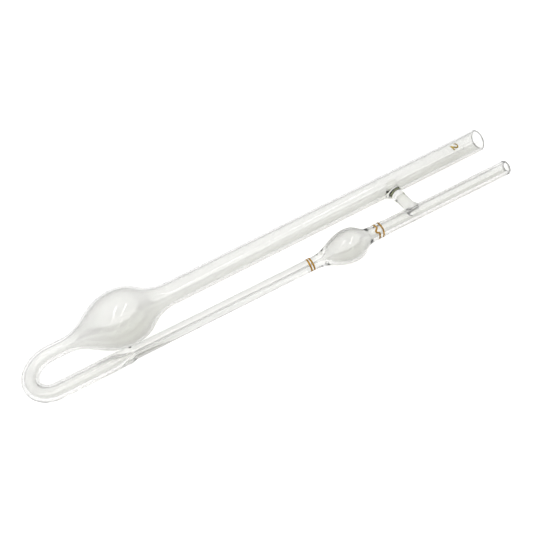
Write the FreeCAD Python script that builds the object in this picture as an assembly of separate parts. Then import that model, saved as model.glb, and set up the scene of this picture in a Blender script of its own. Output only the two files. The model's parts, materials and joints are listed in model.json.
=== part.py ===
import FreeCAD, Part
import math
import os
from FreeCAD import Placement, Rotation, Vector

# Glass U-tube capillary viscometer, lying on a table as it would be put down.
# Everything is drawn in the instrument's own flat frame: the wide arm runs along +X from the
# U-bend at X = 0, the thin arm lies on the -Y side, Z is square to the plane of the two arms.
# The finished set is then pitched and rolled until it rests on three points.

# Arms
ARM_GAP = 22.9          # centre distance of the two arms at the bend
ARM_SPREAD = 0.75       # degrees by which the thin arm leans away from the wide one
AXIS_WIDE = ARM_GAP / 2
BEND_X = -0.6           # centre of the U-bend

# Filling tube (wide arm)
WIDE_R = 6.0
WIDE_BORE_R = 4.7
WIDE_START = 62.0
WIDE_END = 245.7

# U-bend tube, from the reservoir's neck round to the fused seal
U_R = 4.12
U_BORE_R = 2.4
U_WIDE_START = 6.0
U_THIN_END = 25.0

# Fused seal between the U-tube and the capillary
SEAL_R = 4.1
SEAL_END = 35.8

# Capillary
CAP_R = 3.3
CAP_BORE_R = 0.4
CAP_END = 131.0

# Timing bulb and suction tube (thin arm)
TIMING_END = 161.5
TIMING_R = 8.5
TIMING_X = 150.2
NECK_R = 3.95
SUCTION_R = 3.74
SUCTION_BORE_R = 2.15
NECK_BORE_R = 2.75      # bore where the timing bulb's neck runs into the suction tube
NECK_BORE_END = 168.0
SUCTION_END = 242.6
BELL_R = 3.86           # slightly belled free end that takes a hose
BELL_START = 224.0

# Reservoir bulb (wide arm)
BULB_R = 14.7
BULB_X = 37.8

# Bridge between the arms
BRIDGE_X = 188.0
COLLAR_R = 4.5
BAND_R = 3.45
WAIST_R = 2.95
COLLAR_END = 3.7        # Y at which the collar meets the band
BAND_END = 1.9          # Y at which the band meets the rod

# Fired-on gold marks. The rings are brushed round the front of the thin arm and stay open at its
# back. Each one's path is (degrees from +Y towards +Z, mm along the arm) points of the brush.
GOLD = 0.12             # thickness
RING_W = 0.9            # width of the brush
LOWER_RINGS = (127.0, 128.4)
UPPER_PLAIN = 167.1
UPPER_WAVY = 164.8
BRUSH_PATHS = {
    "lower_mark_ring_1": ((35, 0.08), (90, 0), (135, -0.08), (200, 0.03)),
    "lower_mark_ring_2": ((35, -0.08), (90, -0.04), (135, 0.05), (200, 0.1)),
    "upper_mark_ring_plain": ((35, 0.05), (100, 0), (160, 0), (200, -0.4)),
    "upper_mark_ring_wavy": ((35, 0.1), (90, -0.02), (104, 0.1), (112, -0.35), (119, -1.05), (129, -1.25),
                             (138, -0.95), (144, -0.2), (150, 0.2), (160, 0.05), (180, -0.08), (200, -0.4)),
}
NUMERAL_X = 229.0
NUMERAL_ANGLE = 110.0   # degrees about the wide arm, from +Y towards +Z
NUMERAL_TURN = 15.0     # degrees by which the hand-set numeral is askew
NUMERAL_W = 3.35
NUMERAL_H = 3.9
HOOK_H = 1.9            # height of the oval that the top of the 2 follows
STROKE = 0.75

LEAN = math.radians(ARM_SPREAD)
THIN_START = Vector(BEND_X - AXIS_WIDE * math.sin(LEAN), -AXIS_WIDE * math.cos(LEAN), 0)


def spline(points):
    """Curve through (x, r) points that starts and ends along the tube's axis."""
    curve = Part.BSplineCurve()
    curve.interpolate(Points=[Vector(x, r, 0) for x, r in points],
                      InitialTangent=Vector(1, 0, 0), FinalTangent=Vector(1, 0, 0))
    return curve.toShape()


def line(a, b):
    return Part.makeLine(Vector(a[0], a[1], 0), Vector(b[0], b[1], 0))


def spin(edges, angle=360):
    """Turn a closed outline in the XY plane about the X axis."""
    face = Part.Face(Part.Wire(Part.__sortEdges__(edges)))
    return face.revolve(Vector(0, 0, 0), Vector(1, 0, 0), angle)


def blown(outer, inner):
    """Hollow piece between an outer and an inner profile that share their end stations."""
    return spin([spline(outer), spline(inner), line(outer[0], inner[0]), line(outer[-1], inner[-1])])


def ring(x, length, inner, outer):
    body = Part.makeCylinder(outer, length, Vector(x, 0, 0), Vector(1, 0, 0))
    return body.cut(Part.makeCylinder(inner, length, Vector(x, 0, 0), Vector(1, 0, 0)))


def rimmed(outer, inner, end):
    """Tube from its outer and inner (x, r) points, with a fire-polished round rim at its far end."""
    skin, bore = outer[-1][1], inner[-1][1]
    base = end - (skin - bore) / 2
    sides = outer + [(base, skin)], inner + [(base, bore)]
    edges = [line(a, b) for side in sides for a, b in zip(side, side[1:])]
    rim = Part.Arc(Vector(base, skin, 0), Vector(end, (skin + bore) / 2, 0), Vector(base, bore, 0))
    edges.append(rim.toShape())
    edges.append(line(outer[0], inner[0]))
    return spin(edges)


def wide_arm(shape):
    shape.translate(Vector(0, AXIS_WIDE, 0))
    return shape


def thin_arm(shape):
    """Swing a piece drawn on the X axis onto the thin arm, which leaves the bend at its tangent."""
    turn = Placement(THIN_START, Rotation(Vector(0, 0, 1), -ARM_SPREAD))
    back = Placement(Vector(-THIN_START.x, 0, 0), Rotation())
    shape.Placement = turn.multiply(back).multiply(shape.Placement)
    return shape


def filling_tube():
    return wide_arm(rimmed([(WIDE_START, WIDE_R)], [(WIDE_START, WIDE_BORE_R)], WIDE_END))


def reservoir_bulb():
    outer = [(U_WIDE_START, U_R), (12.0, 4.75), (19.0, 8.4), (27.0, 12.8), (BULB_X, BULB_R),
             (47.0, 12.1), (53.0, 8.1), (58.0, 6.4), (WIDE_START, WIDE_R)]
    inner = [(U_WIDE_START, U_BORE_R), (12.6, 3.6), (19.8, 7.4), (27.6, 11.85), (BULB_X, BULB_R - 0.95),
             (46.5, 11.2), (52.2, 7.1), (57.6, 5.2), (WIDE_START, WIDE_BORE_R)]
    return wide_arm(blown(outer, inner))


def u_bend():
    """Straight leg under the reservoir, the half-turn, and the leg up to the seal."""
    bend = Part.Face([Part.Wire(Part.makeCircle(r, Vector(BEND_X, AXIS_WIDE, 0), Vector(1, 0, 0)))
                      for r in (U_R, U_BORE_R)])
    bend = bend.revolve(Vector(BEND_X, 0, 0), Vector(0, 0, 1), 180 - ARM_SPREAD)
    long_leg = thin_arm(ring(THIN_START.x, U_THIN_END - THIN_START.x, U_BORE_R, U_R))
    short_leg = wide_arm(ring(BEND_X, U_WIDE_START - BEND_X, U_BORE_R, U_R))
    return short_leg.fuse([bend, long_leg]).removeSplitter()


def capillary_seal():
    outer = [(U_THIN_END, U_R), (28.5, 4.0), (31.0, 3.9), (32.6, SEAL_R), (34.1, 3.75), (SEAL_END, CAP_R)]
    inner = [(U_THIN_END, U_BORE_R), (28.0, 2.1), (31.0, 1.4), (33.6, 0.75), (SEAL_END, CAP_BORE_R)]
    return thin_arm(blown(outer, inner))


def capillary_tube():
    return thin_arm(ring(SEAL_END, CAP_END - SEAL_END, CAP_BORE_R, CAP_R))


def timing_bulb():
    outer = [(CAP_END, CAP_R), (136.2, 4.4), (141.0, 6.6), (145.5, 7.95), (TIMING_X, TIMING_R),
             (154.4, 7.6), (157.4, 5.6), (TIMING_END, NECK_R)]
    inner = [(CAP_END, CAP_BORE_R), (135.0, 0.7), (138.0, 3.1), (141.6, 5.4), (145.6, 6.8),
             (TIMING_X, TIMING_R - 1.1), (154.0, 6.7), (157.0, 4.9), (159.6, 3.45),
             (TIMING_END, NECK_BORE_R)]
    return thin_arm(blown(outer, inner))


def suction_tube():
    outer = [(TIMING_END, NECK_R), (169.0, NECK_R), (171.5, SUCTION_R), (BELL_START - 3, SUCTION_R),
             (BELL_START, BELL_R)]
    inner = [(TIMING_END, NECK_BORE_R), (NECK_BORE_END, SUCTION_BORE_R)]
    return thin_arm(rimmed(outer, inner, SUCTION_END))


def on_thin_arm(x):
    """Point of the thin arm's axis at a station measured along it."""
    along = x - THIN_START.x
    return THIN_START + Vector(along * math.cos(LEAN), -along * math.sin(LEAN), 0)


def thin_axis_y():
    """Y of the thin arm's axis where the bridge lands on it."""
    return THIN_START.y - (BRIDGE_X - THIN_START.x) * math.tan(LEAN)


def bridge_piece(profile):
    """Turn a run of (y, r) points about the line across the arms, less the two tubes it meets."""
    curve = Part.BSplineCurve()
    curve.interpolate([Vector(BRIDGE_X + r, y, 0) for y, r in profile])
    top, foot = profile[0], profile[-1]
    axis = [Vector(BRIDGE_X, y, 0) for y, _ in (top, foot)]
    ends = [Vector(BRIDGE_X + r, y, 0) for y, r in (top, foot)]
    edges = [curve.toShape(), Part.makeLine(axis[0], axis[1]),
             Part.makeLine(axis[0], ends[0]), Part.makeLine(axis[1], ends[1])]
    face = Part.Face(Part.Wire(Part.__sortEdges__(edges)))
    body = face.revolve(Vector(BRIDGE_X, 0, 0), Vector(0, 1, 0), 360)
    wide = wide_arm(Part.makeCylinder(WIDE_R, 60, Vector(BRIDGE_X - 30, 0, 0), Vector(1, 0, 0)))
    thin = thin_arm(Part.makeCylinder(SUCTION_R, 60, Vector(BRIDGE_X - 30, 0, 0), Vector(1, 0, 0)))
    return body.cut([wide, thin])


def bridge_collar():
    return bridge_piece([(AXIS_WIDE - 4.6, COLLAR_R + 0.9), (AXIS_WIDE - WIDE_R, COLLAR_R),
                         (4.5, 3.7), (COLLAR_END, BAND_R)])


def bridge_band():
    return bridge_piece([(COLLAR_END, BAND_R), (2.8, BAND_R - 0.05), (BAND_END, BAND_R - 0.15)])


def bridge_rod():
    foot = thin_axis_y() + SUCTION_R
    return bridge_piece([(BAND_END, BAND_R - 0.15), (-0.6, WAIST_R + 0.1), (-4.0, WAIST_R),
                         (foot + 2.2, WAIST_R + 0.15), (foot + 0.4, WAIST_R + 0.5),
                         (foot - 1.2, WAIST_R + 1.1)])


def brushed_ring(name, x, radius):
    """Open gold ring of even width along its brush path, wrapped onto the thin arm."""
    centre = spline([(math.radians(angle) * radius, shift) for angle, shift in BRUSH_PATHS[name]])
    first, last = centre.ParameterRange
    steps = 90

    def side(out, height):
        points = []
        for step in range(steps + 1):
            at = first + (last - first) * step / steps
            middle, heading = centre.valueAt(at), centre.tangentAt(at)
            turn = (middle.x - heading.y * out) / radius
            points.append(Vector(x + middle.y + heading.x * out,
                                 (radius + height) * math.cos(turn), (radius + height) * math.sin(turn)))
        curve = Part.BSplineCurve()
        curve.interpolate(Points=points)
        return curve.toShape()

    half = RING_W / 2
    edges = [side(-half, 0), side(half, 0), side(half, GOLD), side(-half, GOLD)]
    faces = [Part.makeRuledSurface(a, b) for a, b in zip(edges, edges[1:] + edges[:1])]
    for end in (0, -1):
        corners = [edge.Vertexes[end].Point for edge in edges]
        faces.append(Part.Face(Part.makePolygon(corners + corners[:1])))
    shell = Part.makeShell(faces)
    shell.sewShape()
    solid = Part.makeSolid(shell)
    if solid.Volume < 0:
        solid.reverse()
    return thin_arm(solid)


def numeral_lines():
    """Centre lines of a 2, about its middle: the hook with its slope, and the base."""
    wide, high = (NUMERAL_W - STROKE) / 2, HOOK_H / 2
    top, low = (NUMERAL_H - STROKE) / 2 - high, (STROKE - NUMERAL_H) / 2
    hook = [(wide * math.cos(a), top + high * math.sin(a))
            for a in (math.radians(175 - 230 * k / 24) for k in range(25))]
    return hook + [(-wide, low)], [(-wide - STROKE / 2, low), (wide + STROKE / 2, low)]


def stroke(points):
    """Upright slab with the brush's width along a centre line."""
    right, left = [], []
    for i, point in enumerate(points):
        (x0, y0), (x1, y1) = points[max(i - 1, 0)], points[min(i + 1, len(points) - 1)]
        out = Vector(y1 - y0, x0 - x1, 0).normalize() * (STROKE / 2)
        right.append(Vector(*point, 0) + out)
        left.append(Vector(*point, 0) - out)
    outline = right + left[::-1]
    return Part.Face(Part.makePolygon(outline + outline[:1])).extrude(Vector(0, 0, 10))


def size_numeral():
    """The size number, read with the open end up, as a raised layer on the wide tube."""
    hook, base = (stroke(points) for points in numeral_lines())
    glyph = hook.fuse(base).removeSplitter()
    glyph.rotate(Vector(0, 0, 0), Vector(0, 0, 1), NUMERAL_TURN)
    # glyph x -> across the tube, glyph y -> along +X, glyph z -> outwards
    turn = math.radians(NUMERAL_ANGLE)
    matrix = FreeCAD.Matrix(0, 1, 0, NUMERAL_X,
                            -math.sin(turn), 0, math.cos(turn), 0,
                            math.cos(turn), 0, math.sin(turn), 0,
                            0, 0, 0, 1)
    glyph = glyph.transformGeometry(matrix)
    layer = ring(NUMERAL_X - NUMERAL_H, 2 * NUMERAL_H, WIDE_R, WIDE_R + GOLD)
    return wide_arm(layer.common(glyph))


def resting(shapes):
    """Pitch the wide arm down onto its mouth, roll onto the timing bulb, set down on Z = 0."""
    drop = (BULB_R - WIDE_R) / (WIDE_END - BULB_X)
    pitch = math.degrees(math.asin(drop))
    gap = BULB_R - drop * (TIMING_X - BULB_X) - TIMING_R
    span = ARM_GAP + (TIMING_X - BEND_X) * math.tan(LEAN)
    roll = math.degrees(math.asin(gap / span))
    turn = Rotation(Vector(0, 1, 0), pitch).multiply(Rotation(Vector(1, 0, 0), roll))
    placed = {}
    box = FreeCAD.BoundBox()
    for name, shape in shapes.items():
        copy = shape.Solids[0]
        copy.Placement = Placement(Vector(0, 0, 0), turn).multiply(copy.Placement)
        placed[name] = copy
        box.add(copy.optimalBoundingBox(False, False))
    shift = Vector(-box.Center.x, -box.Center.y, -box.ZMin)
    for shape in placed.values():
        shape.translate(shift)
    for label, point, axis in (
            ("filling mouth", Vector(WIDE_END, AXIS_WIDE, 0), Vector(1, 0, 0)),
            ("suction end", on_thin_arm(SUCTION_END), Vector(math.cos(LEAN), -math.sin(LEAN), 0)),
            ("reservoir centre", Vector(BULB_X, AXIS_WIDE, 0), Vector(1, 0, 0)),
            ("timing centre", on_thin_arm(TIMING_X), Vector(math.cos(LEAN), -math.sin(LEAN), 0))):
        print(label, turn.multVec(point) + shift, "axis", turn.multVec(axis))
    print("pitch", pitch, "roll", roll, "size", box.XLength, box.YLength, box.ZLength)
    return placed


PIECES = {
    "filling_tube": filling_tube,
    "reservoir_bulb": reservoir_bulb,
    "u_bend": u_bend,
    "capillary_seal": capillary_seal,
    "capillary_tube": capillary_tube,
    "timing_bulb": timing_bulb,
    "suction_tube": suction_tube,
    "bridge_collar": bridge_collar,
    "bridge_band": bridge_band,
    "bridge_rod": bridge_rod,
    "lower_mark_ring_1": lambda: brushed_ring("lower_mark_ring_1", LOWER_RINGS[0], CAP_R),
    "lower_mark_ring_2": lambda: brushed_ring("lower_mark_ring_2", LOWER_RINGS[1], CAP_R),
    "upper_mark_ring_wavy": lambda: brushed_ring("upper_mark_ring_wavy", UPPER_WAVY, NECK_R),
    "upper_mark_ring_plain": lambda: brushed_ring("upper_mark_ring_plain", UPPER_PLAIN, NECK_R),
    "size_numeral": size_numeral,
}

os.makedirs("parts", exist_ok=True)
for node, solid in resting({name: make() for name, make in PIECES.items()}).items():
    print(node, solid.ShapeType, "valid", solid.isValid(), "volume", round(solid.Volume, 2))
    solid.exportStep("parts/" + node + ".step")
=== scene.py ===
import json
import math

import bpy
from mathutils import Matrix, Vector

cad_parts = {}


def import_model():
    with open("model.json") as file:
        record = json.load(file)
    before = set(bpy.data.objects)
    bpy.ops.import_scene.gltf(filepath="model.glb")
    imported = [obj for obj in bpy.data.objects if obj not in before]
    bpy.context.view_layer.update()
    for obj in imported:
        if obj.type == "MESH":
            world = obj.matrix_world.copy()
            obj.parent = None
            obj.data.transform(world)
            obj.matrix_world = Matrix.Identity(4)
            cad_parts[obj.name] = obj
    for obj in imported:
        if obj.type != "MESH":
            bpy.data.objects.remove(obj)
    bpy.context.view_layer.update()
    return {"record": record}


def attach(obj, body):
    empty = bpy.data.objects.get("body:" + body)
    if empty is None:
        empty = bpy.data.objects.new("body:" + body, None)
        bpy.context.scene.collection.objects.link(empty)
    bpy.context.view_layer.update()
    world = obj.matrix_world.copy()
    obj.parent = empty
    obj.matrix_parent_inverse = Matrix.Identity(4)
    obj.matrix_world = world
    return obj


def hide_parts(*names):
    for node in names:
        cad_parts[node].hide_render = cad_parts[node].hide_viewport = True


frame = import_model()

# ---------------------------------------------------------------------------------------------
# The instrument's own flat frame, in millimetres: wide arm along +X on y = AXIS_WIDE, thin arm on
# the -Y side, +Z square to both. The record's mounts say where it lies in the row frame. These are
# the dimensions of the CAD design.
# ---------------------------------------------------------------------------------------------
ARM_GAP = 22.9
ARM_SPREAD = math.radians(0.75)
AXIS_WIDE = ARM_GAP / 2
BEND_X = -0.6
START_X = BEND_X - AXIS_WIDE * math.sin(ARM_SPREAD)
START_Y = -AXIS_WIDE * math.cos(ARM_SPREAD)

WIDE_R, WIDE_BORE_R, WIDE_START, WIDE_END = 6.0, 4.7, 62.0, 245.7
U_R, U_BORE_R, U_WIDE_START, U_THIN_END = 4.12, 2.4, 6.0, 25.0
SEAL_R, SEAL_END = 4.1, 35.8
CAP_R, CAP_BORE_R, CAP_END = 3.3, 0.4, 131.0
TIMING_END, TIMING_R, TIMING_X, NECK_R = 161.5, 8.5, 150.2, 3.95
SUCTION_R, SUCTION_BORE_R, SUCTION_END = 3.74, 2.15, 242.6
NECK_BORE_R, NECK_BORE_END = 2.75, 168.0
BELL_R, BELL_START = 3.86, 224.0
BULB_R, BULB_X = 14.7, 37.8
BRIDGE_X, COLLAR_R, BAND_R, WAIST_R, COLLAR_Y, BAND_Y = 188.0, 4.5, 3.45, 2.95, 3.7, 1.9
GOLD, RING_W = 0.12, 0.9                    # thickness of the paint and width of a ring
NUMERAL_X, NUMERAL_ANGLE, NUMERAL_TURN = 229.0, 110.0, 15.0
NUMERAL_W, NUMERAL_H, HOOK_H, STROKE = 3.35, 3.9, 1.9, 0.75
HOOK_FROM, HOOK_SWEEP = 175, 230      # degrees at which the top of the 2 starts, and that it turns through
LOWER_RINGS, UPPER_WAVY, UPPER_PLAIN = (127.0, 128.4), 164.8, 167.1

SEAM = 0.015             # half the gap left between two fused pieces, so their end faces stay apart
SIDES = 120              # faces round a tube
MAX_RUN = 12.0           # longest run between two stations of a straight tube
RIM_STEPS = 16           # faces over the round of a fire-polished rim
LANDING_STEP, LANDING_STEPS = 0.25, 24      # stations on each side of where the bridge lands on a tube
FOOT_REACH = 7.0         # along the arms, no part of the bridge is further from its centre line
END_RINGS = 10           # rings of faces in the end of a bridge piece
EDGE_ROUNDS = 30         # rounds of the search for the edge of such an end
BEND_STEPS = 96
MOUNT_INSET = 1.0        # the filling bore's mount lies this far inside the wide arm's end

mounts = {m["name"]: m for m in frame["record"]["mounts"]}
wide_at = Vector(mounts["filling_bore"]["pos_m"]) * 1000
ex = Vector(mounts["filling_bore"]["axis"]).normalized()
across = wide_at - Vector(mounts["suction_end"]["pos_m"]) * 1000
ez = ex.cross(across).normalized()
ey = ez.cross(ex)
origin = wide_at - ex * (WIDE_END - MOUNT_INSET) - ey * AXIS_WIDE
ROW = Matrix(((ex.x, ey.x, ez.x, origin.x), (ex.y, ey.y, ez.y, origin.y),
              (ex.z, ey.z, ez.z, origin.z), (0, 0, 0, 1)))
TO_ROW = Matrix.Scale(0.001, 4) @ ROW


# ---------------------------------------------------------------------------------------------
# Paths: each takes a station in mm and gives (centre, sideways, upwards) of the cross-section
# ---------------------------------------------------------------------------------------------
def wide_path(s):
    return Vector((s, AXIS_WIDE, 0)), Vector((0, 1, 0)), Vector((0, 0, 1))


def thin_path(s):
    along = s - START_X
    centre = Vector((START_X + along * math.cos(ARM_SPREAD), START_Y - along * math.sin(ARM_SPREAD), 0))
    return centre, Vector((math.sin(ARM_SPREAD), math.cos(ARM_SPREAD), 0)), Vector((0, 0, 1))


BEND_SHORT = U_WIDE_START - BEND_X
BEND_ARC = AXIS_WIDE * (math.pi - ARM_SPREAD)
BEND_LENGTH = BEND_SHORT + BEND_ARC + U_THIN_END - START_X


def bend_path(s):
    """From the reservoir's neck, down the short leg, round the half-turn and along the long leg."""
    if s <= BEND_SHORT:
        return Vector((U_WIDE_START - s, AXIS_WIDE, 0)), Vector((0, 1, 0)), Vector((0, 0, 1))
    if s <= BEND_SHORT + BEND_ARC:
        a = math.pi / 2 + (s - BEND_SHORT) / AXIS_WIDE
        out = Vector((math.cos(a), math.sin(a), 0))
        return Vector((BEND_X, 0, 0)) + out * AXIS_WIDE, out, Vector((0, 0, 1))
    centre, side, up = thin_path(START_X + s - BEND_SHORT - BEND_ARC)
    return centre, -side, up


# ---------------------------------------------------------------------------------------------
# Curves and meshes
# ---------------------------------------------------------------------------------------------
def clamped(points, count):
    """Smooth curve through (x, r) points that leaves and arrives along the axis, as (x, r) samples."""
    n = len(points)
    t = [0.0]
    for a, b in zip(points, points[1:]):
        t.append(t[-1] + math.dist(a, b))

    def slopes(values, first, last):
        h = [t[i + 1] - t[i] for i in range(n - 1)]
        low, diag, high, rhs = [0.0] * n, [1.0] * n, [0.0] * n, [first] + [0.0] * (n - 2) + [last]
        for i in range(1, n - 1):
            low[i], diag[i], high[i] = h[i], 2 * (h[i - 1] + h[i]), h[i - 1]
            rhs[i] = 3 * (h[i] * (values[i] - values[i - 1]) / h[i - 1]
                          + h[i - 1] * (values[i + 1] - values[i]) / h[i])
        for i in range(1, n):
            f = low[i] / diag[i - 1]
            diag[i] -= f * high[i - 1]
            rhs[i] -= f * rhs[i - 1]
        out = [0.0] * n
        out[-1] = rhs[-1] / diag[-1]
        for i in range(n - 2, -1, -1):
            out[i] = (rhs[i] - high[i] * out[i + 1]) / diag[i]
        return out

    xs, rs = [p[0] for p in points], [p[1] for p in points]
    dx, dr = slopes(xs, 1.0, 1.0), slopes(rs, 0.0, 0.0)
    samples = []
    for k in range(count + 1):
        u = t[-1] * k / count
        i = min(max(j for j in range(n) if t[j] <= u + 1e-9), n - 2)
        h = t[i + 1] - t[i]
        w = (u - t[i]) / h
        basis = (2 * w**3 - 3 * w**2 + 1, (w**3 - 2 * w**2 + w) * h,
                 3 * w**2 - 2 * w**3, (w**3 - w**2) * h)
        samples.append(tuple(basis[0] * v[i] + basis[1] * d[i] + basis[2] * v[i + 1] + basis[3] * d[i + 1]
                             for v, d in ((xs, dx), (rs, dr))))
    return samples


def mesh_piece(name, verts, faces, sharp_edges, material, nodes, face_materials=()):
    """Makes the object in the row frame, smooth but for its sharp edges, and hands it to the frame.

    finishes are (material, faces) pairs for the faces that don't look like the rest.
    """
    mesh = bpy.data.meshes.new(name)
    mesh.from_pydata([TO_ROW @ Vector(v) for v in verts], [], faces)
    mesh.update()
    mesh.shade_smooth()
    wanted = {tuple(sorted(e)) for e in sharp_edges}
    for edge in mesh.edges:
        if tuple(sorted(edge.vertices)) in wanted:
            edge.use_edge_sharp = True
    mesh.materials.append(material)
    for face_material, marked in face_materials:
        if marked:
            mesh.materials.append(face_material)
            for index in marked:
                mesh.polygons[index].material_index = len(mesh.materials) - 1
    piece = bpy.data.objects.new(name, mesh)
    bpy.context.scene.collection.objects.link(piece)
    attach(piece, "root")
    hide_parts(*nodes)


SKIN, JOINT, RIM, BORE = range(4)


def swept(loop, path):
    """Closed wall: a loop of (station, radius, kind) turned about the path.

    kind says whether the face from this point of the loop to the next is of the outer SKIN, a JOINT to
    the neighbour, the RIM or the BORE.
    """
    verts, faces, sharps, marked = [], [], [], {SKIN: [], JOINT: [], RIM: [], BORE: []}
    for s, r, _ in loop:
        centre, side, up = path(s)
        for k in range(SIDES):
            a = 2 * math.pi * k / SIDES
            verts.append(centre + side * (r * math.cos(a)) + up * (r * math.sin(a)))
    n = len(loop)
    for i in range(n):
        j = (i + 1) % n
        for k in range(SIDES):
            m = (k + 1) % SIDES
            faces.append((i * SIDES + k, i * SIDES + m, j * SIDES + m, j * SIDES + k))
        marked[loop[i][2]] += range(i * SIDES, (i + 1) * SIDES)
        if loop[i][2] == JOINT:
            sharps += [(row * SIDES + k, row * SIDES + (k + 1) % SIDES)
                       for row in (i, j) for k in range(SIDES)]
    return verts, facing_out(verts, faces), sharps, marked


def facing_out(verts, faces):
    """Turns all faces over if the closed mesh encloses a negative volume."""
    volume = 0.0
    for f in faces:
        a = Vector(verts[f[0]])
        for p, q in zip(f[1:], f[2:]):
            volume += a.dot(Vector(verts[p]).cross(Vector(verts[q])))
    return faces if volume > 0 else [tuple(reversed(f)) for f in faces]


def wall(outer, inner):
    """Profile loop from an outer and an inner run of (s, r), both from the low to the high station."""
    lo, hi = outer[0][0] + SEAM, outer[-1][0] - SEAM
    fit = [(min(max(s, lo), hi), r) for s, r in outer]
    back = [(min(max(s, lo), hi), r) for s, r in reversed(inner)]
    loop = fit + back
    kinds = [SKIN] * (len(fit) - 1) + [JOINT] + [BORE] * (len(back) - 1) + [JOINT]
    return [(s, r, kind) for (s, r), kind in zip(loop, kinds)]


def runs(points):
    """Straight runs between (s, r) points, cut into pieces no longer than MAX_RUN."""
    out = [points[0]]
    for (s0, r0), (s1, r1) in zip(points, points[1:]):
        n = max(1, math.ceil(abs(s1 - s0) / MAX_RUN))
        out += [(s0 + (s1 - s0) * k / n, r0 + (r1 - r0) * k / n) for k in range(1, n + 1)]
    return out


def rimmed(outer, inner, end):
    """Loop of a tube with a fire-polished, fully rounded rim at its far end."""
    skin, bore = outer[-1][1], inner[-1][1]
    half, mid = (skin - bore) / 2, (skin + bore) / 2
    base = end - half
    rim = [(base + half * math.sin(a), mid + half * math.cos(a))
           for a in (math.pi * k / RIM_STEPS for k in range(1, RIM_STEPS))]
    side, hole = runs(outer + [(base, skin)]), runs((inner + [(base, bore)])[::-1])
    kinds = [SKIN] * (len(side) - 1) + [RIM] * (len(rim) + 1) + [BORE] * (len(hole) - 1) + [JOINT]
    low = outer[0][0] + SEAM
    return [(max(s, low), r, kind) for (s, r), kind in zip(side + rim + hole, kinds)]


# ---------------------------------------------------------------------------------------------
# Materials
# ---------------------------------------------------------------------------------------------
SLANTS = (0.0, 0.3, 0.55, 0.8, 1.0)            # how far the skin slants away: 0 square on, 1 edge on
SOLID_EDGE_SHADE = (1.0, 1.0, 0.87, 0.9, 0.92)      # share of the colour left at each of SLANTS, darker edges as painted shade: solid glass,
SKIN_EDGE_SHADE = (1.0, 0.96, 0.7, 0.52, 0.4)       # the outer skin of a tube,
EVEN_EDGES = (1.0, 1.0, 1.0, 1.0, 1.0)         # and a bore or the collar
# Grey beyond clear glass: a faint warm tint of the glass's own, and mostly painted shade of the shadowed
# floor seen through it
CLEAR_TINT_AND_SHADE = (0.782, 0.782, 0.77)
CLEAR_SHADE = (0.96, 0.93, 0.88, 0.65, 0.3)    # share of the light let through to the floor at each of SLANTS
DRAWN = (60, 900, 900)                         # streaks run lengthwise, as the tube was drawn


def new_material(name):
    material = bpy.data.materials.new(name)
    material.use_nodes = True
    tree = material.node_tree
    tree.nodes.clear()
    out = tree.nodes.new("ShaderNodeOutputMaterial")
    return material, tree, out


def glass(name, tint_and_shade, shade=CLEAR_SHADE, stretch=DRAWN, edges=SOLID_EDGE_SHADE, roughness=0.0):
    """Clear glass with faint drawing streaks and slow waves.

    Light on its way to the floor goes through it, less so where it meets the skin at a slant, so the
    glass throws a thin shadow with dark edges. shade is the share let through at each of SLANTS. The
    colour is grey beyond clear glass, which is painted shade of the floor seen through it, and edges is
    the share of it that is left at each of SLANTS: partly since the wall is longer to see through at its
    edges, mostly painted shade that darkens the outlines.
    """
    material, tree, out = new_material(name)
    node, link = tree.nodes.new, tree.links.new
    shader = node("ShaderNodeBsdfPrincipled")
    shader.inputs["Roughness"].default_value = roughness
    shader.inputs["IOR"].default_value = 1.47
    shader.inputs["Transmission Weight"].default_value = 1.0
    coords = node("ShaderNodeTexCoord")
    mapping = node("ShaderNodeMapping")
    mapping.inputs["Scale"].default_value = stretch
    link(coords.outputs["Object"], mapping.inputs["Vector"])
    streaks = node("ShaderNodeTexNoise")
    streaks.inputs["Scale"].default_value = 1.0
    streaks.inputs["Detail"].default_value = 3.0
    link(mapping.outputs["Vector"], streaks.inputs["Vector"])
    waves = node("ShaderNodeBump")
    waves.inputs["Strength"].default_value = 0.015
    waves.inputs["Distance"].default_value = 0.001
    link(streaks.outputs["Fac"], waves.inputs["Height"])
    link(waves.outputs["Normal"], shader.inputs["Normal"])
    slant = node("ShaderNodeLayerWeight")
    slant.inputs["Blend"].default_value = 0.5

    def by_slant(colours):
        ramp = node("ShaderNodeValToRGB")
        elements = ramp.color_ramp.elements
        while len(elements) < len(SLANTS):
            elements.new(0.5)
        for element, place, colour in zip(elements, SLANTS, colours):
            element.position = place
            element.color = (*colour, 1)
        link(slant.outputs["Facing"], ramp.inputs["Fac"])
        return ramp.outputs["Color"]

    tones = node("ShaderNodeMix")
    tones.data_type = "RGBA"
    tones.blend_type = "MULTIPLY"
    tones.inputs["B"].default_value = (0.96, 0.96, 0.96, 1)
    link(streaks.outputs["Fac"], tones.inputs["Factor"])
    link(by_slant([[share * c for c in tint_and_shade] for share in edges]), tones.inputs["A"])
    link(tones.outputs["Result"], shader.inputs["Base Color"])
    see = node("ShaderNodeBsdfTransparent")
    link(by_slant([[share * c / max(tint_and_shade) for c in tint_and_shade] for share in shade]), see.inputs["Color"])
    rays = node("ShaderNodeLightPath")
    either = node("ShaderNodeMath")
    either.operation = "MAXIMUM"
    link(rays.outputs["Is Shadow Ray"], either.inputs[0])
    link(rays.outputs["Is Diffuse Ray"], either.inputs[1])
    mix = node("ShaderNodeMixShader")
    link(either.outputs["Value"], mix.inputs["Fac"])
    link(shader.outputs["BSDF"], mix.inputs[1])
    link(see.outputs["BSDF"], mix.inputs[2])
    link(mix.outputs["Shader"], out.inputs["Surface"])
    return material


def fused():
    """Nothing shows where two pieces of glass are fused, so light goes straight on."""
    material, tree, out = new_material("fused_joint")
    see = tree.nodes.new("ShaderNodeBsdfTransparent")
    tree.links.new(see.outputs["BSDF"], out.inputs["Surface"])
    return material


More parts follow.
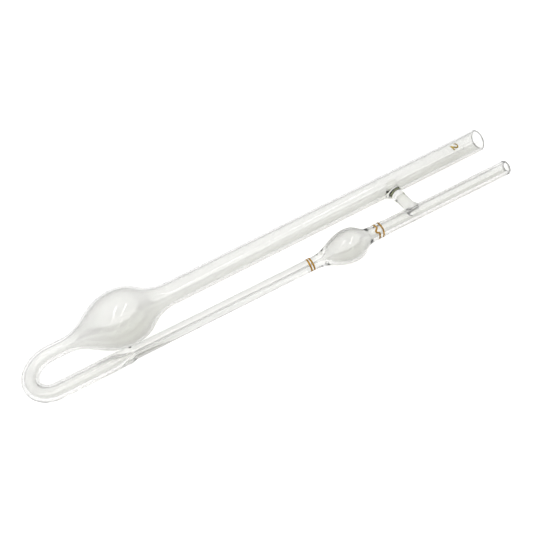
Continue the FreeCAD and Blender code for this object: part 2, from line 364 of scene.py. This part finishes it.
def gold(name, light, dark):
    """Fired-on gold: thin in places, so the brown under it shows, and a little rough."""
    material, tree, out = new_material(name)
    node, link = tree.nodes.new, tree.links.new
    shader = node("ShaderNodeBsdfPrincipled")
    coords = node("ShaderNodeTexCoord")
    noise = node("ShaderNodeTexNoise")
    noise.inputs["Scale"].default_value = 900.0
    noise.inputs["Detail"].default_value = 4.0
    link(coords.outputs["Object"], noise.inputs["Vector"])
    ramp = node("ShaderNodeValToRGB")
    ramp.color_ramp.elements[0].position = 0.35
    ramp.color_ramp.elements[0].color = (*dark, 1)
    ramp.color_ramp.elements[1].position = 0.65
    ramp.color_ramp.elements[1].color = (*light, 1)
    link(noise.outputs["Fac"], ramp.inputs["Fac"])
    link(ramp.outputs["Color"], shader.inputs["Base Color"])
    rough = node("ShaderNodeMapRange")
    rough.inputs["To Min"].default_value = 0.3
    rough.inputs["To Max"].default_value = 0.55
    link(noise.outputs["Fac"], rough.inputs["Value"])
    link(rough.outputs["Result"], shader.inputs["Roughness"])
    shader.inputs["Metallic"].default_value = 0.4
    shader.inputs["Specular IOR Level"].default_value = 0.2
    lift = node("ShaderNodeBump")
    lift.inputs["Strength"].default_value = 0.2
    lift.inputs["Distance"].default_value = 0.0001
    link(noise.outputs["Fac"], lift.inputs["Height"])
    link(lift.outputs["Normal"], shader.inputs["Normal"])
    link(shader.outputs["BSDF"], out.inputs["Surface"])
    return material


# The clear glass's grey and its darker outlines are painted shade
CLEAR = glass("clear_glass", CLEAR_TINT_AND_SHADE, edges=SKIN_EDGE_SHADE)
PLAIN = glass("plain_clear_glass", CLEAR_TINT_AND_SHADE, edges=EVEN_EDGES)
# Solid glass is seen through two faces and a tube through four, so each of the two takes more of the grey,
# which is painted shade as in the clear glass
THICK = glass("thick_clear_glass", (0.655, 0.655, 0.643), shade=(0.95, 0.92, 0.87, 0.65, 0.3))
# Near-black lip: painted shade for the dark arcs round the rims of the mouths
LIP_SHADE = glass("lip_painted_dark", (0.2, 0.2, 0.195), shade=(0.9, 0.85, 0.8, 0.65, 0.3))
OLIVE = glass("olive_glass", (0.085, 0.1, 0.03), shade=(0.6, 0.55, 0.5, 0.4, 0.3), stretch=(500, 500, 500),
              roughness=0.12)
FUSED = fused()
GOLD_RINGS = gold("gold_rings", (0.33, 0.175, 0.01), (0.13, 0.066, 0.004))
GOLD_NUMBER = gold("gold_number", (0.29, 0.195, 0.001), (0.1, 0.066, 0.001))


# ---------------------------------------------------------------------------------------------
# Glass pieces along the arms
# ---------------------------------------------------------------------------------------------
def smooth_profile(profile, count=80):
    """Catmull-Rom curve through (y, r) points."""
    points = [profile[0], *profile, profile[-1]]
    out = []
    for a, b, c, d in zip(points, points[1:], points[2:], points[3:]):
        for k in range(count // len(profile)):
            w = k / (count // len(profile))
            out.append(tuple(0.5 * (2 * q + (r - p) * w + (2 * p - 5 * q + 4 * r - s) * w * w
                                    + (3 * q - p - 3 * r + s) * w**3) for p, q, r, s in zip(a, b, c, d)))
    return out + [profile[-1]]


def radius_at(curve, y):
    """Radius of a curve from smooth_profile at y; its ends carry on beyond it."""
    for (y0, r0), (y1, r1) in zip(curve, curve[1:]):
        if y0 >= y >= y1:
            return r0 + (r1 - r0) * (y0 - y) / max(y0 - y1, 1e-9)
    return curve[0][1] if y > curve[0][0] else curve[-1][1]


THIN_SKIN = START_Y - (BRIDGE_X - START_X) * math.tan(ARM_SPREAD) + SUCTION_R
COLLAR = smooth_profile([(AXIS_WIDE - 4.6, COLLAR_R + 0.9), (AXIS_WIDE - WIDE_R, COLLAR_R), (4.5, 3.7),
                         (COLLAR_Y, BAND_R)])
BAND = smooth_profile([(COLLAR_Y, BAND_R), (2.8, BAND_R - 0.05), (BAND_Y, BAND_R - 0.15)])
ROD = smooth_profile([(BAND_Y, BAND_R - 0.15), (-0.6, WAIST_R + 0.1), (-4.0, WAIST_R),
                      (THIN_SKIN + 2.2, WAIST_R + 0.15), (THIN_SKIN + 0.4, WAIST_R + 0.5),
                      (THIN_SKIN - 1.2, WAIST_R + 1.1)])


def landing(radius):
    """Closely set stations where the bridge lands on a tube."""
    return [(BRIDGE_X + k * LANDING_STEP, radius) for k in range(-LANDING_STEPS, LANDING_STEPS + 1)]


def footprint(loop, path, bridge_side, curve):
    """Faces of a tube's skin under the end of the bridge, where the two are fused."""
    found = []
    for i, ((s0, r0, _), (s1, r1, _)) in enumerate(zip(loop, loop[1:])):
        if r0 != r1 or s1 <= s0 or abs(s0 - BRIDGE_X) > FOOT_REACH:
            continue
        centre, side, up = path((s0 + s1) / 2)
        for k in range(SIDES):
            a = 2 * math.pi * (k + 0.5) / SIDES
            at = centre + side * (r0 * math.cos(a)) + up * (r0 * math.sin(a))
            facing = (at.y - centre.y) * bridge_side > 0
            if facing and math.hypot(at.x - BRIDGE_X, at.z) < radius_at(curve, at.y):
                found.append(i * SIDES + k)
    return found


def glass_piece(name, loop, path, bridge_side=0, curve=(), material=CLEAR):
    """Tube or bulb. bridge_side is the side in Y on which a bridge of the given curve lands on it, if any."""
    verts, faces, sharps, marked = swept(loop, path)
    if bridge_side:
        marked[JOINT] += footprint(loop, path, bridge_side, curve)
    # The rim's faces take the near-black lip glass, painted shade
    face_materials = [(FUSED, marked[JOINT]), (LIP_SHADE, marked[RIM])]
    if material is CLEAR:
        face_materials.insert(0, (PLAIN, marked[BORE]))
    mesh_piece(name + "_glass", verts, faces, sharps, material, [name], face_materials)


glass_piece("filling_tube", rimmed([(WIDE_START, WIDE_R), *landing(WIDE_R)],
                                   [(WIDE_START, WIDE_BORE_R)], WIDE_END), wide_path, -1, COLLAR)

glass_piece("reservoir_bulb", wall(
    clamped([(U_WIDE_START, U_R), (12.0, 4.75), (19.0, 8.4), (27.0, 12.8), (BULB_X, BULB_R),
             (47.0, 12.1), (53.0, 8.1), (58.0, 6.4), (WIDE_START, WIDE_R)], 72),
    clamped([(U_WIDE_START, U_BORE_R), (12.6, 3.6), (19.8, 7.4), (27.6, 11.85), (BULB_X, BULB_R - 0.95),
             (46.5, 11.2), (52.2, 7.1), (57.6, 5.2), (WIDE_START, WIDE_BORE_R)], 72)), wide_path)

bend_outer = [(BEND_LENGTH * k / BEND_STEPS, U_R) for k in range(BEND_STEPS + 1)]
bend_inner = [(s, U_BORE_R) for s, _ in bend_outer]
glass_piece("u_bend", wall(bend_outer, bend_inner), bend_path)

glass_piece("capillary_seal", wall(
    clamped([(U_THIN_END, U_R), (28.5, 4.0), (31.0, 3.9), (32.6, SEAL_R), (34.1, 3.75),
             (SEAL_END, CAP_R)], 40),
    clamped([(U_THIN_END, U_BORE_R), (28.0, 2.1), (31.0, 1.4), (33.6, 0.75), (SEAL_END, CAP_BORE_R)], 40)),
    thin_path)

glass_piece("capillary_tube", wall(runs([(SEAL_END, CAP_R), (CAP_END, CAP_R)]),
                                   runs([(SEAL_END, CAP_BORE_R), (CAP_END, CAP_BORE_R)])), thin_path,
            material=THICK)

glass_piece("timing_bulb", wall(
    clamped([(CAP_END, CAP_R), (136.2, 4.4), (141.0, 6.6), (145.5, 7.95), (TIMING_X, TIMING_R),
             (154.4, 7.6), (157.4, 5.6), (TIMING_END, NECK_R)], 60),
    clamped([(CAP_END, CAP_BORE_R), (135.0, 0.7), (138.0, 3.1), (141.6, 5.4), (145.6, 6.8),
             (TIMING_X, TIMING_R - 1.1), (154.0, 6.7), (157.0, 4.9), (159.6, 3.45),
             (TIMING_END, NECK_BORE_R)], 60)),
    thin_path)

glass_piece("suction_tube", rimmed([(TIMING_END, NECK_R), (169.0, NECK_R), (171.5, SUCTION_R),
                                    *landing(SUCTION_R), (BELL_START - 3, SUCTION_R), (BELL_START, BELL_R)],
                                   [(TIMING_END, NECK_BORE_R), (NECK_BORE_END, SUCTION_BORE_R)],
                                   SUCTION_END), thin_path, 1, ROD)


# ---------------------------------------------------------------------------------------------
# Bridge: solid pieces turned about the line across the arms, ended by the tubes they meet
# ---------------------------------------------------------------------------------------------
def wide_surface(x, z):
    """Y of the wide arm's skin on the side that faces the thin arm."""
    return AXIS_WIDE - math.sqrt(max((WIDE_R + SEAM) ** 2 - z * z, 0.0))


def thin_surface(x, z):
    """Y of the thin arm's skin on the side that faces the wide arm."""
    axis = START_Y - (x - START_X) * math.tan(ARM_SPREAD)
    return axis + math.sqrt(max((SUCTION_R + SEAM) ** 2 - z * z, 0.0)) / math.cos(ARM_SPREAD)


def bridge_piece(name, curve, top, foot, material, rows=28, sides=72, fused_ends=(0, 1)):
    """top and foot give the Y of the end faces at a point (x, z); the side follows the curve."""
    verts, faces, sharps, joints = [], [], [], []

    def edge(surface, a):
        r = curve[0][1] if surface is top else curve[-1][1]
        for _ in range(EDGE_ROUNDS):
            y = surface(BRIDGE_X + r * math.cos(a), r * math.sin(a))
            r = radius_at(curve, y)
        return y

    columns = []
    for k in range(sides):
        a = 2 * math.pi * k / sides
        y0, y1 = edge(top, a), edge(foot, a)
        columns.append([(y0 + (y1 - y0) * i / rows, a) for i in range(rows + 1)])
    for i in range(rows + 1):
        for y, a in (column[i] for column in columns):
            r = radius_at(curve, y)
            verts.append(Vector((BRIDGE_X + r * math.cos(a), y, r * math.sin(a))))
    for i in range(rows):
        for k in range(sides):
            m = (k + 1) % sides
            faces.append((i * sides + k, i * sides + m, (i + 1) * sides + m, (i + 1) * sides + k))
    for end, (surface, row) in enumerate(((top, 0), (foot, rows))):
        rim = [row * sides + k for k in range(sides)]
        sharps += [(rim[k], rim[(k + 1) % sides]) for k in range(sides)]
        rims = [verts[v].copy() for v in rim]
        previous = rim
        for step in range(1, END_RINGS):
            share = 1 - step / END_RINGS
            ring = []
            for p in rims:
                x, z = BRIDGE_X + (p.x - BRIDGE_X) * share, p.z * share
                ring.append(len(verts))
                verts.append(Vector((x, surface(x, z), z)))
            for k in range(sides):
                m = (k + 1) % sides
                if end in fused_ends:
                    joints.append(len(faces))
                quad = (previous[k], previous[m], ring[m], ring[k])
                faces.append(quad if row else tuple(reversed(quad)))
            previous = ring
        centre = len(verts)
        verts.append(Vector((BRIDGE_X, surface(BRIDGE_X, 0), 0)))
        for k in range(sides):
            m = (k + 1) % sides
            if end in fused_ends:
                joints.append(len(faces))
            tri = (previous[k], previous[m], centre)
            faces.append(tri if row else tuple(reversed(tri)))
    mesh_piece(name + "_glass", verts, facing_out(verts, faces), sharps, material, [name],
               [(FUSED, joints)])


bridge_piece("bridge_collar", COLLAR, wide_surface, lambda x, z: COLLAR_Y + SEAM, PLAIN)
bridge_piece("bridge_band", BAND, lambda x, z: COLLAR_Y - SEAM, lambda x, z: BAND_Y + SEAM, OLIVE,
             rows=10)
# The rod's upper end stays a glass face: it mirrors the clear rod, so the band's colour doesn't fill it
bridge_piece("bridge_rod", ROD, lambda x, z: BAND_Y - SEAM, thin_surface, THICK,
             fused_ends=(1,))


# ---------------------------------------------------------------------------------------------
# Gold marks
# ---------------------------------------------------------------------------------------------
# Cross-section of a brush line: share of the half width, share of the thickness
BRUSH = [(-1, 0.1), (-0.86, 0.75), (-0.5, 1.0), (0.5, 1.0), (0.86, 0.75), (1, 0.1)]
TAPER = 0.75             # width left at the two ends of a stroke of the numeral


def brushed_ring(name, station, radius, path):
    """Low domed brush line round the front of the thin arm; path is (degrees round, mm along) points."""
    line = clamped([(math.radians(angle) * radius, shift) for angle, shift in path], 110)
    verts = []
    for i, (round_, along) in enumerate(line):
        before, after = line[max(i - 1, 0)], line[min(i + 1, len(line) - 1)]
        length = math.dist(before, after)
        heading = ((after[0] - before[0]) / length, (after[1] - before[1]) / length)
        for out, up_ in BRUSH:
            a = (round_ - heading[1] * out * RING_W / 2) / radius
            centre, side, up = thin_path(station + along + heading[0] * out * RING_W / 2)
            r = radius + GOLD * up_
            verts.append(centre + side * (r * math.cos(a)) + up * (r * math.sin(a)))
    faces = stroke_faces(0, len(line))
    mesh_piece(name + "_gold", verts, facing_out(verts, faces), [], GOLD_RINGS, [name])


def stroke_faces(first, count):
    """Faces of one closed stroke of count cross-sections whose first vertex is first."""
    n = len(BRUSH)
    faces = [tuple(first + k for k in reversed(range(n))),
             tuple(first + (count - 1) * n + k for k in range(n))]
    for i in range(count - 1):
        p, q = first + i * n, first + (i + 1) * n
        faces += [(p + k, p + (k + 1) % n, q + (k + 1) % n, q + k) for k in range(n)]
    return faces


brushed_ring("lower_mark_ring_1", LOWER_RINGS[0], CAP_R, ((35, 0.08), (90, 0), (135, -0.08), (200, 0.03)))
brushed_ring("lower_mark_ring_2", LOWER_RINGS[1], CAP_R, ((35, -0.08), (90, -0.04), (135, 0.05), (200, 0.1)))
brushed_ring("upper_mark_ring_plain", UPPER_PLAIN, NECK_R, ((35, 0.05), (100, 0), (160, 0), (200, -0.4)))
brushed_ring("upper_mark_ring_wavy", UPPER_WAVY, NECK_R,
             ((35, 0.1), (90, -0.02), (104, 0.1), (112, -0.35), (119, -1.05), (129, -1.25), (138, -0.95),
              (144, -0.2), (150, 0.2), (160, 0.05), (180, -0.08), (200, -0.4)))


def numeral_lines():
    """Centre lines of a 2, about its middle: the hook with its slope, and the base."""
    wide, high = (NUMERAL_W - STROKE) / 2, HOOK_H / 2
    top, low = (NUMERAL_H - STROKE) / 2 - high, (STROKE - NUMERAL_H) / 2
    hook = [(wide * math.cos(a), top + high * math.sin(a))
            for a in (math.radians(HOOK_FROM - HOOK_SWEEP * k / 24) for k in range(25))]
    x0, y0 = hook[-1]
    slope = [(x0 - (x0 + wide) * k / 8, y0 - (y0 - low) * k / 8) for k in range(1, 9)]
    base = [((wide + STROKE / 2) * (k / 4 - 1), low) for k in range(9)]
    return hook + slope, base


def brush(lines, width):
    """Raised strokes on the wide arm, as closed low domes that follow the tube."""
    turn, askew = math.radians(NUMERAL_ANGLE), math.radians(NUMERAL_TURN)
    verts, faces = [], []
    for line in lines:
        first = len(verts)
        for i, (u, v) in enumerate(line):
            a = line[max(i - 1, 0)]
            b = line[min(i + 1, len(line) - 1)]
            length = math.dist(a, b)
            nx, ny = (b[1] - a[1]) / length, -(b[0] - a[0]) / length
            taper = TAPER if i in (0, len(line) - 1) else 1.0
            for out, up_ in BRUSH:
                x = u + nx * out * width / 2 * taper
                y = v + ny * out * width / 2 * taper
                x, y = x * math.cos(askew) - y * math.sin(askew), x * math.sin(askew) + y * math.cos(askew)
                # x runs round the tube, towards rising angle; y runs along it to the open end
                angle = turn + x / WIDE_R
                r = WIDE_R + GOLD * up_
                verts.append(Vector((NUMERAL_X + y, AXIS_WIDE + r * math.cos(angle), r * math.sin(angle))))
        faces += stroke_faces(first, len(line))
    return verts, faces


number_verts, number_faces = brush(numeral_lines(), STROKE)
mesh_piece("size_numeral_gold", number_verts, facing_out(number_verts, number_faces), [], GOLD_NUMBER,
           ["size_numeral"])


# ---------------------------------------------------------------------------------------------
# Stage, light and camera
# ---------------------------------------------------------------------------------------------
FLOOR_HALF = 4.0
# Tone of the tent against the sine of the height above the horizon
NEAR_SKY = ((0.0, 0.33), (0.13, 0.33), (0.2, 0.02), (0.42, 0.02), (0.55, 0.95), (0.85, 0.95), (1.0, 0.85))
FAR_SKY = ((0.0, 0.3), (0.45, 0.32), (0.85, 0.62), (1.0, 0.8))
WORLD = 2.85
STRIP_SIZE, STRIP_HEIGHT, STRIP_POWER = (0.11, 1.84), 2.0, 3.2
STRIP_RUN = (0.485, 0.875)                     # X and Y of the way that the lamps run, away from the viewer
EYE = (-0.04649, -0.21097, 0.22072)
AZIMUTH, ELEVATION, ROLL = 11.26, 44.76, -20.56
LENS = 41.11


def floor():
    """Plain pale floor under the object."""
    material, tree, out = new_material("pale_floor")
    shader = tree.nodes.new("ShaderNodeBsdfPrincipled")
    shader.inputs["Base Color"].default_value = (0.8, 0.8, 0.8, 1)
    shader.inputs["Roughness"].default_value = 0.8
    tree.links.new(shader.outputs["BSDF"], out.inputs["Surface"])
    mesh = bpy.data.meshes.new("floor")
    corners = [(x * FLOOR_HALF, y * FLOOR_HALF, 0) for x, y in ((-1, -1), (1, -1), (1, 1), (-1, 1))]
    mesh.from_pydata(corners, [], [(0, 1, 2, 3)])
    mesh.materials.append(material)
    plane = bpy.data.objects.new("floor", mesh)
    bpy.context.scene.collection.objects.link(plane)


def strip(name, at):
    """Long narrow lamp overhead, running away from the viewer."""
    light = bpy.data.lights.new(name, "AREA")
    light.shape = "RECTANGLE"
    light.size, light.size_y = STRIP_SIZE
    light.energy = STRIP_POWER
    lamp = bpy.data.objects.new(name, light)
    lamp.location = (*at, STRIP_HEIGHT)
    lamp.rotation_euler = (0, 0, -math.atan2(*STRIP_RUN))
    bpy.context.scene.collection.objects.link(lamp)


def world():
    """Soft light from above: a bright tent with a dark band low down on the viewer's side."""
    studio = bpy.data.worlds.new("studio")
    studio.use_nodes = True
    tree = studio.node_tree
    node, link = tree.nodes.new, tree.links.new
    coords = node("ShaderNodeTexCoord")
    parts = node("ShaderNodeSeparateXYZ")
    link(coords.outputs["Generated"], parts.inputs["Vector"])

    def tones(stops, source):
        ramp = node("ShaderNodeValToRGB")
        elements = ramp.color_ramp.elements
        while len(elements) < len(stops):
            elements.new(0.5)
        for element, (place, tone) in zip(elements, stops):
            element.position = place
            element.color = (tone, tone, tone, 1)
        link(source, ramp.inputs["Fac"])
        return ramp.outputs["Color"]

    side = node("ShaderNodeMapRange")
    side.inputs["From Min"].default_value = -0.35
    side.inputs["From Max"].default_value = 0.25
    link(parts.outputs["Y"], side.inputs["Value"])
    both = node("ShaderNodeMix")
    both.data_type = "RGBA"
    link(side.outputs["Result"], both.inputs["Factor"])
    link(tones(NEAR_SKY, parts.outputs["Z"]), both.inputs["A"])
    link(tones(FAR_SKY, parts.outputs["Z"]), both.inputs["B"])
    link(both.outputs["Result"], tree.nodes["Background"].inputs["Color"])
    tree.nodes["Background"].inputs["Strength"].default_value = WORLD
    bpy.context.scene.world = studio


def camera():
    """Three-quarter view from above the thin arm, turned so the arms rise to the right."""
    azimuth, elevation, roll = (math.radians(v) for v in (AZIMUTH, ELEVATION, ROLL))
    at = Vector(EYE)
    view = Vector((math.sin(azimuth) * math.cos(elevation), math.cos(azimuth) * math.cos(elevation),
                   -math.sin(elevation)))
    level = Vector((math.cos(azimuth), -math.sin(azimuth), 0))
    above = level.cross(view)
    right = level * math.cos(roll) + above * math.sin(roll)
    up = above * math.cos(roll) - level * math.sin(roll)
    data = bpy.data.cameras.new("camera")
    data.sensor_width = 36.0
    data.lens = LENS
    data.clip_start = 0.01
    eye = bpy.data.objects.new("camera", data)
    eye.matrix_world = Matrix(((right.x, up.x, -view.x, at.x), (right.y, up.y, -view.y, at.y),
                               (right.z, up.z, -view.z, at.z), (0, 0, 0, 1)))
    bpy.context.scene.collection.objects.link(eye)
    bpy.context.scene.camera = eye


floor()
strip("left_strip", (-0.417, -0.741))
strip("right_strip", (0.503, -0.861))
world()
camera()
bpy.context.scene.view_settings.view_transform = "Standard"
